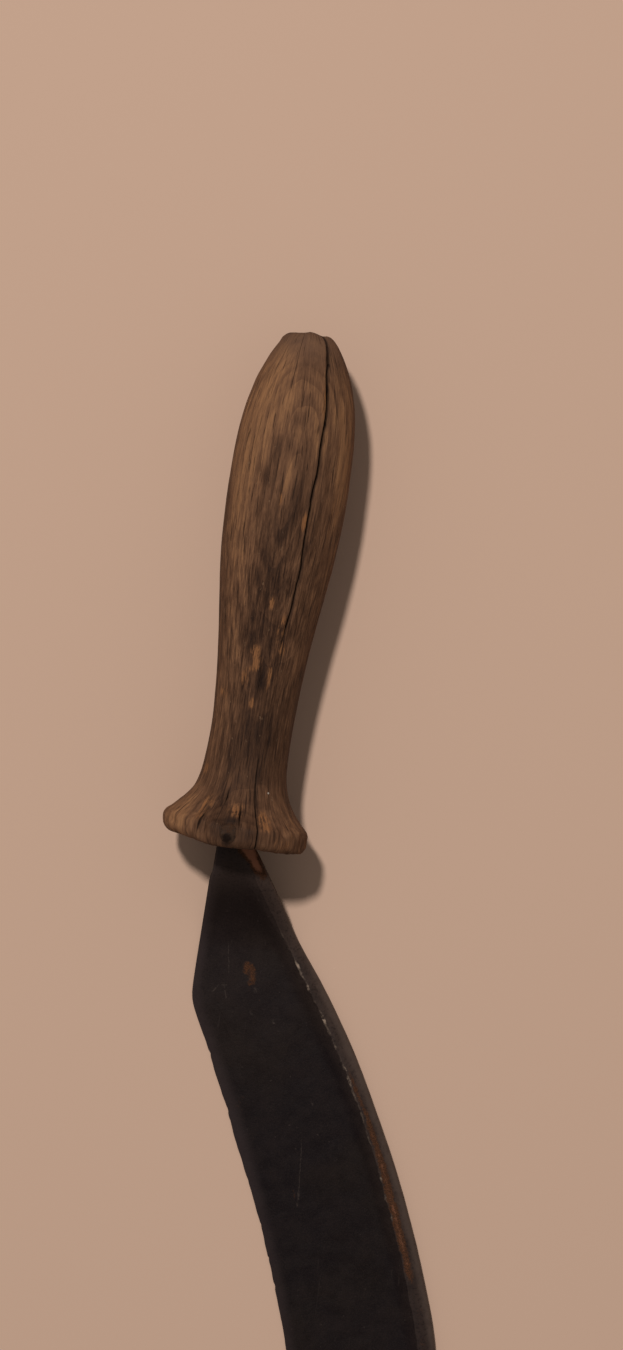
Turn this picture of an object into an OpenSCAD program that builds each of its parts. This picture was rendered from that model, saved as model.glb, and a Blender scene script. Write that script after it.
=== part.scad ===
// Old farm sickle: one forged blade, whose tang is driven into a turned wooden handle and pinned by a nail.
// Lengths are millimetres. Z is up from the flat that the sickle lies on, Y runs from the blade to the butt,
// and X points to the side that the back of the blade first swings out to.

/* [Handle] */
// Length of the handle, from the face of the collar to the butt
handle_len = 128.5; // [115:0.5:150]
// Radius of the flared collar
collar_r = 18.2; // [16.5:0.1:21]
// Length of the collar's straight rim
collar_rim = 1.7; // [1:0.1:5]
// Rounding between the collar's face and its rim
face_round = 2.4; // [1:0.1:3.5]
// Rounding where the flare leaves the rim
rim_round = 2.4; // [1:0.1:4]
// Angle at which the flare runs in from the rim
flare_angle = 51; // [45:1:60]
// Radius of the waist behind the collar
waist_r = 10; // [9:0.1:12]
// Distance from the face of the collar to the waist
waist_at = 26; // [20:0.5:35]
// Radius of the belly that fills the palm
belly_r = 15.2; // [13:0.1:18]
// Distance from the face of the collar to the belly
belly_at = 91; // [75:0.5:105]
// Radius of the flat on the butt
butt_r = 5.5; // [4:0.1:8]

/* [Drying split] */
// Widest gap of the long split, at the butt
split_w = 0.9; // [0.5:0.1:2]
// Length of the split, from the butt towards the collar
split_len = 75; // [40:1:85]
// Angle of the split round the handle, from the top
split_angle = 27; // [0:1:60]
// Wood left between the tang's bore and the bottom of the split
split_wall = 2.5; // [1.5:0.1:4]

/* [Tang] */
// Width of the tang's flat root, where the neck leaves the handle
root_w = 9.8; // [8:0.1:12]
// Thickness of the tang's root
root_t = 4.8; // [3.5:0.1:6]
// Length of the root inside the handle
root_len = 12; // [9:0.5:16]
// Length over which the root narrows to the spike
spike_shoulder = 7; // [4:0.5:12]
// Side of the square spike at its thick end
spike_w = 4.8; // [4:0.1:6]
// Side of the square spike at its point
spike_end_w = 3.2; // [2:0.1:3.8]
// Length of the whole tang inside the handle
tang_len = 90; // [60:1:100]
// Chamfer along the tang's corners
tang_chamfer = 0.5; // [0.2:0.1:1]
// Gap between the tang and the wood
tang_fit = 0.12; // [0.05:0.01:0.3]
// Space left in the bore beyond the tang's point
bore_spare = 2; // [0.5:0.5:8]

/* [Nail] */
// Radius of the nail's shank
nail_r = 1.2; // [0.8:0.1:1.4]
// Radius of the nail's head
nail_head_r = 2.4; // [1.8:0.1:2.8]
// Thickness of the nail's head
nail_head_t = 1.1; // [0.8:0.1:2]
// Height that the head stands out of the wood
nail_proud = 0.3; // [0:0.1:0.7]
// Length of the nail
nail_len = 30; // [26:0.5:32]
// Distance from the face of the collar to the nail
nail_at = 3.6; // [3:0.1:6]
// Distance from the middle of the handle to the nail
nail_side = 1.9; // [0:0.1:2.2]
// Gap between the nail and its hole
nail_fit = 0.08; // [0.05:0.01:0.2]

/* [Line of the back] */
// Angle between the handle and the straight stretch that starts the back
set_back = 33.6; // [28:0.2:38]
// Length of the straight stretch
straight_len = 42; // [36:1:55]
// Length of the slow sweep that follows
sweep_len = 85; // [60:1:110]
// Radius of the slow sweep
sweep_r = 330; // [250:1:450]
// Length of the shoulder, where the hook begins
shoulder_len = 60; // [40:1:80]
// Radius of the shoulder
shoulder_r = 128; // [110:1:160]
// Length of the hook's round part
hook_len = 160; // [140:1:170]
// Radius of the hook's round part
hook_r = 98; // [90:1:115]
// Length of the last stretch, up to the tip
tip_len = 74; // [55:1:85]
// Radius of the last stretch
tip_r = 122; // [105:1:180]

/* [Outline of the blade] */
// Width of the blade at the heel
heel_w = 32; // [28:0.2:36]
// Greatest width of the blade
blade_w = 37.8; // [36:0.2:42]
// Distance along the back to the greatest width
widest_at = 138; // [110:1:150]
// Width of the blunt end of the tip
tip_w = 1.4; // [1:0.1:3]
// Fullness of the taper to the tip: 1 is straight, more keeps the width longer
taper_power = 2.2; // [1.6:0.1:3]
// Outward lean of the neck's straight side, at the heel
neck_lean = 0.75; // [0:0.05:2]
// Rounding of the heel's corner
heel_round = 1.4; // [0.5:0.1:4]
// Stretch of the handle's direction over which the neck drops to the flat of the blade
crank_len = 27; // [24:0.5:32]

/* [Section of the blade] */
// Width of the raised rib along the back
rib_w = 3.7; // [3:0.1:4.5]
// Thickness of the blade at the crest of the rib
rib_t = 3.9; // [3:0.1:4.5]
// Height of the rib's outer face
back_t = 1.4; // [1:0.1:2]
// Width of the hollow between the rib and the plate
cove_w = 4.6; // [3.5:0.1:6]
// Thickness of the plate beyond the hollow
plate_t = 2.1; // [1.6:0.1:2.6]
// Width of the honed bevel
bevel_w = 1.3; // [0.8:0.1:2.5]
// Thickness of the blade where the bevel starts
bevel_t = 1; // [0.7:0.1:1.3]
// Thickness left at the cutting edge
edge_t = 0.36; // [0.2:0.02:0.5]
// Rounding under the back
sole_round = 0.6; // [0.3:0.1:0.9]
// Share of the thickness that is left at the tip
tip_share = 0.45; // [0.3:0.05:0.8]

/* [Hidden] */
round_fn = 96;
cut_past = 1;

// The sickle lies on the sole of the blade and on the rim of the collar
axis_z = collar_r;

// Turned profile of the handle
turning_step = 1.6;
arc_step = 15;
butt_power = 3.1;
flare_from = face_round + collar_rim + rim_round * sin(flare_angle);
flare_r = collar_r - rim_round * (1 - cos(flare_angle));
flare_power = tan(flare_angle) * (waist_at - flare_from) / (flare_r - waist_r);

// Slot, bore and split in the wood
slot_len = root_len + spike_shoulder;
slot_w = root_w + 2 * tang_fit;
slot_t = max(root_t, spike_w) + 2 * tang_fit;
bore_r = norm([spike_w / 2, spike_w / 2 - tang_chamfer]) + tang_fit;
bore_end = tang_len + bore_spare;
split_floor = bore_r + split_wall;

// Top of the nail, which is driven square to the flat of the blade
nail_top = axis_z + sqrt(pow(collar_r, 2) - pow(nail_side, 2)) + nail_proud;

// Stretches of the back from the collar to the tip, each with its length and its radius, 0 for straight
STRETCHES = [
    [straight_len, 0], [sweep_len, sweep_r], [shoulder_len, shoulder_r], [hook_len, hook_r], [tip_len, tip_r]
];
back_len = straight_len + sweep_len + shoulder_len + hook_len + tip_len;
back_steps = 120;
step_len = back_len / back_steps;
heel_at = (heel_w * cos(set_back) - root_w - neck_lean) / sin(set_back);
rib_fade_w = 2 * (rib_w + cove_w);
cove_steps = 3;
plate_steps = 3;

function lerp(a, b, t) = a + (b - a) * t;
function ease(t) = (1 - cos(180 * min(1, max(0, t)))) / 2;

// Radius of the handle at a distance y from the face of the collar
function flare(y) = waist_r + (flare_r - waist_r) * pow((waist_at - y) / (waist_at - flare_from), flare_power);
function swell(y) = lerp(waist_r, belly_r, ease((y - waist_at) / (belly_at - waist_at)));
function tail(y) = butt_r + (belly_r - butt_r) * (1 - pow((y - belly_at) / (handle_len - belly_at), butt_power));
function handle_r(y) = y < waist_at ? flare(y) : y < belly_at ? swell(y) : tail(y);

// Turn of the back up to a distance s, over the stretches from number i on
function turn(s, i = 0) = i == len(STRETCHES) || s <= 0 ? 0
    : (STRETCHES[i][1] == 0 ? 0 : min(s, STRETCHES[i][0]) / STRETCHES[i][1] * 180 / PI)
    + turn(s - STRETCHES[i][0], i + 1);
function heading(s) = set_back - turn(s);

// Points along the back, walked in short steps from the face of the collar
function step_from(s) = step_len * [sin(heading(s)), -cos(heading(s))];
BACK = [for (i = 0, p = [root_w / 2, 0]; i <= back_steps; p = p + step_from((i + 0.5) * step_len), i = i + 1) p];

// The sections lie square to the handle at the collar, and square to the back from the heel on
function section_turn(s) = heading(s) * min(1, s / heel_at);
function across(s) = [-cos(section_turn(s)), -sin(section_turn(s))];

// Width of the section: to the side of the neck or to the cutting edge, with a round corner between them
function rounded_min(a, b, round) = (a + b - norm([a - b, round])) / 2;
function neck_reach(i, s) = (BACK[i].x + root_w / 2 + neck_lean * s / heel_at) / cos(section_turn(s));
function edge_reach(s) = s < widest_at
    ? lerp(heel_w, blade_w, sin(90 * max(0, s - heel_at) / (widest_at - heel_at)))
    : lerp(blade_w, tip_w, pow((s - widest_at) / (back_len - widest_at), taper_power));
function section_w(i, s) = s < 2 * heel_at
    ? rounded_min(neck_reach(i, s), edge_reach(s), heel_round)
    : edge_reach(s);

// Corners of the blade's section: distance from the back, and height above the sole
function blade_section(w) = let (
    k = min(1, w / rib_fade_w),
    t = lerp(tip_share, 1, k),
    cove_end = (rib_w + cove_w) * k,
    bevel_at = w - bevel_w * k
) [
    [0, sole_round * t],
    for (a = [0:45:90]) [rib_w * (1 - cos(a)) * k, lerp(back_t, rib_t, sin(a)) * t],
    for (i = [1:cove_steps]) [
        lerp(rib_w * k, cove_end, i / cove_steps), lerp(rib_t, plate_t, sin(90 * i / cove_steps)) * t
    ],
    for (i = [1:plate_steps]) [
        lerp(cove_end, bevel_at, i / plate_steps), lerp(plate_t, bevel_t, 1 - cos(90 * i / plate_steps)) * t
    ],
    [w, edge_t * t],
    [w, edge_t / 2 * t],
    [w - edge_t * k, 0],
    [sole_round * k, 0]
];

// Corners of the tang's section, in the same order, with the crest of the rib on the same share of the width
function bar_section(w, t) = let (c = tang_chamfer, crest = rib_w * w / root_w, flats = cove_steps + plate_steps) [
    [0, c],
    [0, t - c],
    [c, t],
    for (i = [0:flats]) [lerp(crest, w - c, i / flats), t],
    [w, t - c],
    [w, c],
    [w - c, 0],
    [c, 0]
];

// Height of the sole: level with the handle at the collar, and on the ground beyond the crank
function lift(y) = (axis_z - root_t / 2) * (1 - ease(-y / crank_len));
function place(start, dir, section) = [
    for (q = section) let (p = start + dir * q.x) [p.x, p.y, q.y + lift(p.y)]
];
function tang_ring(y, w, t) = place(
    [w / 2, y], [-1, 0], [for (q = bar_section(w, t)) [q.x, q.y + (root_t - t) / 2]]
);
function blade_ring(i) = let (s = i * step_len, w = section_w(i, s)) place(
    BACK[i], across(s), lerp(bar_section(w, root_t), blade_section(w), ease(s / heel_at))
);
RINGS = [
    tang_ring(tang_len, spike_end_w, spike_end_w),
    tang_ring(slot_len, spike_w, spike_w),
    tang_ring(root_len, root_w, root_t),
    for (i = [0:back_steps]) blade_ring(i)
];

// Middle of the outline, which goes to the origin
OUTLINE = [for (ring = RINGS, p = ring) p];
x_low = min(-collar_r, min([for (p = OUTLINE) p.x]));
x_high = max(collar_r, max([for (p = OUTLINE) p.x]));
y_low = min([for (p = OUTLINE) p.y]);
middle = [(x_low + x_high) / 2, (y_low + handle_len) / 2, 0];

// A skin round rings of points, closed by the first and the last ring
module skin(rings) {
    n = len(rings[0]);
    last = (len(rings) - 1) * n;
    polyhedron(
        points = [for (ring = rings, p = ring) p],
        faces = [
            [for (j = [0:n - 1]) j],
            for (i = [0:len(rings) - 2], j = [0:n - 1])
                let (a = i * n + j, b = i * n + (j + 1) % n)
                each [[a, b + n, b], [a, a + n, b + n]],
            [for (j = [n - 1:-1:0]) last + j]
        ]
    );
}

// A round of the nail's line, from a depth under its top to a height over it
module nail_round(r, down, up = 0) {
    translate([-nail_side, nail_at, nail_top - down])
        cylinder(r = r, h = down + up, $fn = round_fn);
}

module turned_wood() {
    rotate([-90, 0, 0])
        rotate_extrude($fn = round_fn)
            polygon([
                [0, 0],
                for (a = [0:arc_step:90]) [collar_r - face_round * (1 - sin(a)), face_round * (1 - cos(a))],
                for (a = [0:flare_angle / 3:flare_angle - 1])
                    [collar_r - rim_round * (1 - cos(a)), face_round + collar_rim + rim_round * sin(a)],
                for (y = [flare_from:turning_step:handle_len - turning_step / 2]) [handle_r(y), y],
                [butt_r, handle_len],
                [0, handle_len]
            ]);
}

// The long split opens towards the butt and runs in along the handle's radius
module drying_split() {
    rotate([0, split_angle, 0])
        translate([0, 0, split_floor])
            linear_extrude(belly_r)
                polygon([
                    [-split_w / 2, handle_len + cut_past],
                    [split_w / 2, handle_len + cut_past],
                    [0, handle_len - split_len]
                ]);
}

// Room for the tang: a flat slot for its root, and a round bore for its spike
module tang_room() {
    translate([-slot_w / 2, -cut_past, -slot_t / 2])
        cube([slot_w, slot_len + cut_past, slot_t]);
    rotate([-90, 0, 0])
        cylinder(r = bore_r, h = bore_end, $fn = round_fn);
}

module handle() {
    color("#5a3f2e")
        translate(-middle)
            difference() {
                translate([0, 0, axis_z])
                    difference() {
                        turned_wood();
                        drying_split();
                        tang_room();
                    }
                nail_round(nail_r + nail_fit, nail_len + nail_fit);
                nail_round(nail_head_r + nail_fit, nail_head_t + nail_fit, cut_past);
            }
}

module blade() {
    color("#2a2321")
        translate(-middle)
            difference() {
                skin(RINGS);
                nail_round(nail_r + nail_fit, nail_len);
            }
}

module collar_nail() {
    color("#4a3226")
        translate(-middle) {
            nail_round(nail_r, nail_len);
            nail_round(nail_head_r, nail_head_t);
        }
}

blade();
handle();
collar_nail();
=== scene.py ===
import math
import random

import bmesh
import bpy
from mathutils import Matrix, Vector, noise


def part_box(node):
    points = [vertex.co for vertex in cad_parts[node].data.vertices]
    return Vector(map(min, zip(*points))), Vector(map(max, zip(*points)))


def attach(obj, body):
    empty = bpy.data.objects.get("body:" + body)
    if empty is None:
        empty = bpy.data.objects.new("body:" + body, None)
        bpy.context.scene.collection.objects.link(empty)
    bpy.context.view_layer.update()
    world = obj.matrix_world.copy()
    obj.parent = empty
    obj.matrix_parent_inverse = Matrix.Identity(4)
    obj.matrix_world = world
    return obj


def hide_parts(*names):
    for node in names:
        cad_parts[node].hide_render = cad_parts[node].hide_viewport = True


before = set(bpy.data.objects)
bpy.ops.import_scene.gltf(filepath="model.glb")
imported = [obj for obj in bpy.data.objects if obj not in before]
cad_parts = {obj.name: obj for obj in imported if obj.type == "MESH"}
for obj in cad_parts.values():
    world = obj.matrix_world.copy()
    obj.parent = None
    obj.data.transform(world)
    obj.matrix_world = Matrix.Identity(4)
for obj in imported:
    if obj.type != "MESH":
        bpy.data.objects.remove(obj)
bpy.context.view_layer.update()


# Camera
# The sickle lies on its flat and is seen from above, a little from the butt's side. The view leans against
# the handle by 8.3 degrees and cuts the hook off, as the photograph does.

mm = 0.001
wood_low, wood_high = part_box("handle")
handle_middle = (wood_low + wood_high) / 2
aim = Vector((handle_middle.x + 12.8 * mm, wood_low.y + 44.0 * mm, 12 * mm))
stand_off = 1.3
view_height = 337.5 * mm
view_lean, view_tilt = math.radians(8.3), math.radians(-2.5)

camera = bpy.data.objects.new("camera", bpy.data.cameras.new("camera"))
bpy.context.scene.collection.objects.link(camera)
bpy.context.scene.camera = camera
camera.data.sensor_fit = "VERTICAL"
camera.data.sensor_height = 36
camera.data.lens = camera.data.sensor_height * stand_off / view_height
camera.matrix_world = (
    Matrix.Translation(aim)
    @ Matrix.Rotation(view_lean, 4, "Z")
    @ Matrix.Rotation(view_tilt, 4, "X")
    @ Matrix.Translation((0, 0, stand_off))
)


# Handle
# One stick of hardwood, turned with a flared collar, a thin waist, a full belly and a blunt butt. The bare
# wood has gone brown and greasy in the hand, its soft rings are washed out, and a long drying split runs in
# from the butt.

handle_len = (wood_high.y - wood_low.y) / mm
collar_r = (wood_high.x - wood_low.x) / 2 / mm
waist_r, waist_at = 10, 26
belly_r, belly_at = 15.2, 91
butt_r, butt_corner, butt_power = 5.5, 2.8, 3.1
face_round = 2.4
rim_end = 4.1
flare_angle = math.radians(51)
flare_from = rim_end + face_round * math.sin(flare_angle)
flare_r = collar_r - face_round * (1 - math.cos(flare_angle))
flare_power = math.tan(flare_angle) * (waist_at - flare_from) / (flare_r - waist_r)

slot_w, slot_t, slot_len = 10.3, 5.2, 19
bore_r, bore_len = 3.5, 92

# Rings of the mesh: their pitch along the handle and on the collar's face, the rings on the butt and round
# its corner, the steps down the bore, and the radii over which the rings turn from round to the slot's shape
ring_pitch, face_pitch = 0.52, 0.6
butt_rings, butt_pitch, butt_crown = 7, 0.62, 0.012
corner_shares = (0.16, 0.32, 0.48, 0.64, 0.8)
bore_steps = 8
slot_mouth_r, slot_lip_r, slot_wall_r = 8, 5.1, 5

# Radius of the hollow that the nail's head was beaten into, the least radius that marks are laid out on,
# that of the drum that the fibres are laid out on, the gap over the floor, and how near points are merged
hollow_r, least_r, skin_r, floor_gap, weld = 2.7, 4, 12, 0.02, 0.002

nail_low, nail_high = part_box("collar_nail")
nail_middle = (nail_low + nail_high) / 2


def ease(t):
    return (1 - math.cos(math.pi * min(1, max(0, t)))) / 2


def lerp(a, b, t):
    return a + (b - a) * t


def hump(x, middle, reach):
    return math.exp(-(((x - middle) / reach) ** 2))


def uneven(x, y, z):
    """Smooth noise between about -1 and 1."""
    return noise.noise(Vector((x, y, z)))


def way(points, x):
    """Height at x of the straight runs that join the points."""
    for (x0, y0), (x1, y1) in zip(points, points[1:]):
        if x <= x1:
            return lerp(y0, y1, max(0, (x - x0) / (x1 - x0)))
    return points[-1][1]


def handle_radius(a):
    if a < waist_at:
        return waist_r + (flare_r - waist_r) * ((waist_at - a) / (waist_at - flare_from)) ** flare_power
    if a < belly_at:
        return lerp(waist_r, belly_r, ease((a - waist_at) / (belly_at - waist_at)))
    return butt_r + (belly_r - butt_r) * (1 - ((a - belly_at) / (handle_len - belly_at)) ** butt_power)


def turned_outline():
    """Distance from the collar's face and radius of each ring, from the butt's middle to the bore's end."""
    rings = [(handle_len - butt_crown * i * i, butt_pitch * i) for i in range(butt_rings)]
    corner_end = handle_len - butt_corner
    corner_a, corner_r = rings[-1]
    for t in corner_shares:
        near, middle, far = (1 - t) ** 2, 2 * t * (1 - t), t * t
        rings.append((
            near * corner_a + middle * handle_len + far * corner_end,
            near * corner_r + middle * (butt_r + 0.1) + far * handle_radius(corner_end),
        ))
    a = corner_end
    while a > flare_from:
        rings.append((a, handle_radius(a)))
        a -= ring_pitch
    for i in range(5, -1, -1):
        turn = flare_angle * i / 5
        rings.append((rim_end + face_round * math.sin(turn), collar_r - face_round * (1 - math.cos(turn))))
    rings += [(3.5, collar_r), (2.95, collar_r)]
    for i in range(7, -1, -1):
        turn = math.pi / 2 * i / 7
        rings.append((face_round * (1 - math.cos(turn)), collar_r - face_round * (1 - math.sin(turn))))
    r = collar_r - face_round - face_pitch
    while r > slot_w / 2 + 0.5:
        rings.append((0, r))
        r -= face_pitch
    rings.append((0.05, slot_lip_r))
    rings += [(a, slot_wall_r) for a in (0.4, 1.2, 2.4, 5, 9, 14, slot_len)]
    rings += [(lerp(slot_len, bore_len, i / bore_steps), bore_r) for i in range(bore_steps + 1)]
    return rings + [(bore_len, 0)]


# The cracks follow lines that run along the handle, given as distance from the collar's face and degrees
# round from the top. Each opening on a line has its depth, and its gap at distances from the collar's face.
crack_lines = [
    ([(0, -160), (60, -157), (128, -161)], [(2.6, [(18, 0), (36, 0.34), (50, 0.3), (64, 0)])]),
    (
        [(0, -75), (40, -72), (128, -78)],
        [(1.4, [(31, 0), (38, 0.2), (45, 0)]), (1.8, [(74, 0), (86, 0.2), (99, 0)])],
    ),
    ([(0, -32), (9, -31), (40, -36), (128, -38)], [(1.3, [(1.5, 0), (5, 0.36), (9.5, 0)])]),
    ([(0, -16), (14, -17), (40, -19), (128, -18)], [(1.0, [(9.8, 0), (12, 0.26), (14.4, 0)])]),
    (
        [(0, 1.5), (11, 0.5), (60, 1), (128, 0)],
        [(1.2, [(4.6, 0), (8, 0.26), (11.4, 0)]), (0.7, [(37, 0), (40, 0.16), (46, 0)])],
    ),
    (
        [
            (0, 17), (25, 15.6), (42, 18), (53, 22), (60, 25.2), (65, 25.7), (70.6, 26.7), (77, 25.1),
            (89, 25.3), (95, 27.4), (104, 28.2), (111.5, 30.6), (118.5, 30.4), (126.5, 41), (130, 45),
        ],
        [
            (1.9, [(-3, 0.24), (8, 0.26), (18, 0.16), (27, 0)]),
            (8.2, [(50, 0), (56, 0.26), (70, 0.36), (90, 0.46), (104, 0.62), (118, 0.66), (133, 0.8)]),
        ],
    ),
    (
        [(0, 128), (50, 131), (128, 127)],
        [(2.2, [(-3, 0.36), (6, 0.2), (13, 0)]), (2.8, [(98, 0), (116, 0.3), (133, 0.45)])],
    ),
]
line_middles = [-160, -75, -35, -17, 1, 26, 129]

# Eleven columns of points follow each line, from the crack's middle out over its lips to the wood on both
# sides. The first three stand at shares of half the gap and the others at distances from the lip. Then come
# each one's share of the crack's depth, and how far painted shade, with dirt, darkens it.
lip_shares = (0, 0.75, 1)
beside_lip = (0.1, 0.34, 0.72)
crack_depths = (1, 0.8, 0.04, 0, 0, 0)
crack_shade_shares = (1, 1, 0.9, 0.5, 0.2, 0)
least_half = 0.07
line_degrees = 8
columns_per_degree = 0.62

columns = []
for line, middle in enumerate(line_middles):
    columns += [(line, step, 0) for step in range(-5, 6)]
    following = (line_middles + [line_middles[0] + 360])[line + 1]
    spare = max(3, round((following - middle - line_degrees) * columns_per_degree))
    columns += [(line, 5, (i + 1) / (spare + 1)) for i in range(spare)]


def crack_gap(line, a):
    """Half the gap of the crack at a distance a, and its depth."""
    for deep, gaps in crack_lines[line][1]:
        if gaps[0][0] < a < gaps[-1][0]:
            half = way(gaps, a) / 2 * (1 + 0.4 * uneven(a / 3.1, line, 0))
            return half, deep * min(1, half / 0.14)
    return 0, 0


def crack_angle(line, a):
    """Angle of a crack's line at a distance a, with the small jogs of split fibres."""
    jog = 0.2 * uneven(a / 6.5, line, 7) + 0.1 * uneven(a / 1.6, line, 3)
    return math.radians(way(crack_lines[line][0], a)) + jog / 15


def crack_step(half, step):
    """Distance of a column from the middle of its crack."""
    size, half = abs(step), max(half, least_half)
    out = half * lip_shares[size] if size < 3 else half + beside_lip[size - 3]
    return math.copysign(out, step)


def ring_table(a, r):
    """For each column of a ring: its angle, how deep the crack cuts there, and its painted shade and dirt."""
    lines = [(crack_angle(i, a), *crack_gap(i, a)) for i in range(len(crack_lines))]
    around = max(r, 9)
    table = []
    for line, step, share in columns:
        angle, half, depth = lines[line]
        edge = angle + crack_step(half, step) / around
        if share:
            after, after_half = lines[(line + 1) % len(lines)][:2]
            turn = 2 * math.pi if line == len(lines) - 1 else 0
            far = after + turn + crack_step(after_half, -5) / around
            table.append((lerp(edge, far, share), 0, 0))
        else:
            is_open = min(1, half / 0.1)
            size = abs(step)
            table.append((edge, depth * crack_depths[size] * is_open, crack_shade_shares[size] * is_open))
    return table


pith_x, pith_z, year_w = -5, -27, 1.7


def growth_rings(x, a, z):
    """Count of yearly rings from the pith, which lies below the handle and isn't quite in line with it."""
    wander = uneven(x / 19, a / 48, z / 19)
    sway = uneven(x / 5, a / 24, z / 5)
    across = math.hypot(x - pith_x - 0.05 * (a - 60), z - pith_z + 0.03 * (a - 60))
    swirl = 3.4 * hump(a, 84, 20) * hump(x, 1.2 + 0.12 * (a - 90), 4.6)
    return (across + 3.0 * wander + 0.6 * sway + swirl) / year_w


def hand_worn(a, x, z):
    """Height of the worn surface over the turned one, with the soft part of each ring washed out."""
    height = 0.26 * uneven(x / 13, a / 34, z / 13)
    height += 0.075 * uneven(x / 1.3, a / 24, z / 1.3)
    height += 0.05 * uneven(x / 0.9, a / 9, z / 0.9)
    ring = growth_rings(x, a, z) % 1
    washed = 0.06 * (ring - 0.5) if ring < 0.82 else -0.43 * (ring - 0.9)
    return height + washed * (1 - ease((a - 100) / 14))


def collar_knocks(a, angle, x, z):
    """The collar's rim is bruised, and torn at its lower right."""
    rim = 1 - ease((a - 3) / 7)
    knock = uneven(x / 3.4, a / 3.4 + 9, z / 3.4)
    height = -1.5 * max(0, knock - 0.2) * rim
    torn = hump(math.degrees(angle), 62, 30) * rim
    height += 0.5 * torn * (uneven(x / 1.5, a / 2, z / 1.5) - 0.35)
    height -= 0.4 * math.sin(angle) * (1 - ease((a - 2) / 16))
    return height


def leaning_shape(a, angle):
    """The turned shape isn't true: the belly is slacker on its left side, and the flare fuller."""
    left = max(0, -math.sin(angle))
    fuller = 0.45 * hump(a, 19, 7) + 0.5 * hump(a, 8, 4)
    return left * (fuller - 1.3 * hump(a, 112, 20) - 0.35 * hump(a, 84, 14))


def face_skew(x):
    """The collar's face is worn away on the left and stands out a little on the right."""
    return 1.4 * ease((-x - 4) / 12) - 0.9 * ease((x - 4) / 14)


# Gouges and dents: distance from the face, degrees round, reach along and across, depth
gouges = [
    (7.6, -40, 1.5, 0.9, 0.9), (5.2, -28, 2.2, 0.5, 0.5), (3.8, -47, 1.8, 0.5, 0.45),
    (8.6, -25, 1.6, 0.5, 0.4), (5.9, -8, 1.0, 1.6, 0.5), (2.0, -9.5, 0.8, 1.1, 0.4), (9, 75, 3, 1.2, 0.5),
    (84, 60, 6, 2.2, 0.35), (57, -8, 4.5, 1.6, 0.3), (66, 168, 7, 2.5, 0.45), (104, -110, 5, 2, 0.4),
    (121, -20, 3, 3, 0.3),
]


def turn_from(degrees, angle):
    """The short way round from a place given in degrees to an angle."""
    return math.radians((math.degrees(angle) - degrees + 180) % 360 - 180)


def gouged(a, angle, r):
    depth = 0
    for middle, degrees, along, across, deep in gouges:
        aside = turn_from(degrees, angle)
        if abs(aside) < math.radians(40) and abs(a - middle) < 3 * along:
            depth += deep * hump(a, middle, along) * hump(aside * r, 0, across)
    return depth


# Blots of grip dirt and painted light: distance from the face, degrees round, reach along and across,
# strength. Where it is negative the wood is lighter: rubbed clean, and on the flanks painted light that
# evens out the lamp's shading.
grip_dirt_and_painted_light = [
    (24, 6, 10, 9, 0.08), (29.5, 8, 7.5, 6, 0.09), (30, 180, 18, 30, 0.14), (41.5, 1, 4.5, 1.8, 0.18),
    (54, -18, 5, 3.4, 0.18), (66, -4, 7, 5, 0.15), (72, -12, 7, 3.0, 0.11), (80, 2, 5, 3.2, 0.12),
    (92, -23, 3, 2.2, 0.2), (99, -14, 3.6, 1.2, 0.17), (102, -3, 5, 1.1, 0.12), (106.5, 5, 2, 2.8, 0.17),
    (88, 12, 6, 1.8, 0.12), (121, 150, 6, 14, 0.12), (118, 36, 6, 4, -0.08), (50, 8, 16, 7, 0.11),
    (20, 4, 7, 6, 0.08), (88, 22, 12, 8, 0.06), (5.5, -18, 5, 3.6, 0.22), (10, -30, 3, 3, 0.10),
    (4, 12, 4, 1.8, 0.18), (31, 52, 14, 5, -0.04), (22, 14, 5, 4, -0.05), (67, 38, 8, 3, 0.06),
    (94, 0, 6.5, 0.8, -0.20), (102, 5, 2.5, 0.8, -0.14), (100, -50, 22, 8, -0.17), (66, -56, 26, 4, -0.10),
    (104, 20, 24, 18, -0.07), (28, -58, 18, 3.4, -0.10), (4.8, -62, 6, 8, -0.18), (7, 62, 6, 6, -0.08),
    (70, -120, 25, 14, 0.1), (108, -16, 6, 4, -0.08), (76, -40, 10, 1.2, -0.08), (5, -48, 5, 5, -0.08),
    (7, 7, 3, 2.2, 0.1), (92, -20, 5, 3, 0.07), (66, 1, 8, 4, 0.04), (70, -26, 7, 2.4, -0.05),
    (7, 42, 4, 4, -0.05), (96, 47, 12, 4, -0.05), (46, 62, 12, 4, -0.07), (50, -60, 8, 4, -0.05),
    (50, -32, 3.5, 2.4, -0.07), (113, -42, 6, 4, -0.1), (94, 64, 22, 4, -0.2), (38, -30, 4, 3, 0.07),
    (89, -8, 5, 2, 0.06), (98, -22, 4, 3, 0.05), (8.2, -45, 2.6, 1.0, 0.2), (15, -4, 4, 6, 0.07),
]

# Spots where the brown skin has chipped off and the wood is still orange, given in the same way
raw_wood = [
    (48.6, -9, 1.6, 1.1, 0.9), (45.6, -5, 1.7, 1.0, 0.9), (44.2, -10, 0.8, 0.8, 0.7),
    (41.5, -19, 2.2, 0.9, 0.9), (35.8, -5, 1.2, 0.6, 0.9), (55, 19, 3.4, 1.2, 0.7),
    (49.5, 23, 1.8, 1.2, 0.6), (61, 2, 1.7, 0.6, 0.8), (43.5, 13, 4.2, 0.5, 0.7), (37.3, -50, 1.6, 1.8, 0.6),
    (8.6, -35, 2.8, 1.5, 0.9), (9.2, -3, 1.7, 2.0, 0.8), (7.2, 24, 2.2, 1.7, 1.0),
    (111, 26.3, 4.4, 0.5, 1.0), (81.7, 21.5, 2.2, 0.6, 0.9), (87, -4, 3.0, 0.6, 0.6), (2.4, 40, 1.6, 3, 0.5),
    (70, 150, 3, 1.6, 0.9), (30, -120, 3, 1.6, 0.8), (94, -150, 5, 1, 0.9), (58, 100, 2.5, 1.2, 0.8),
    (18, -64, 2, 1.4, 0.5),
]

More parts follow.
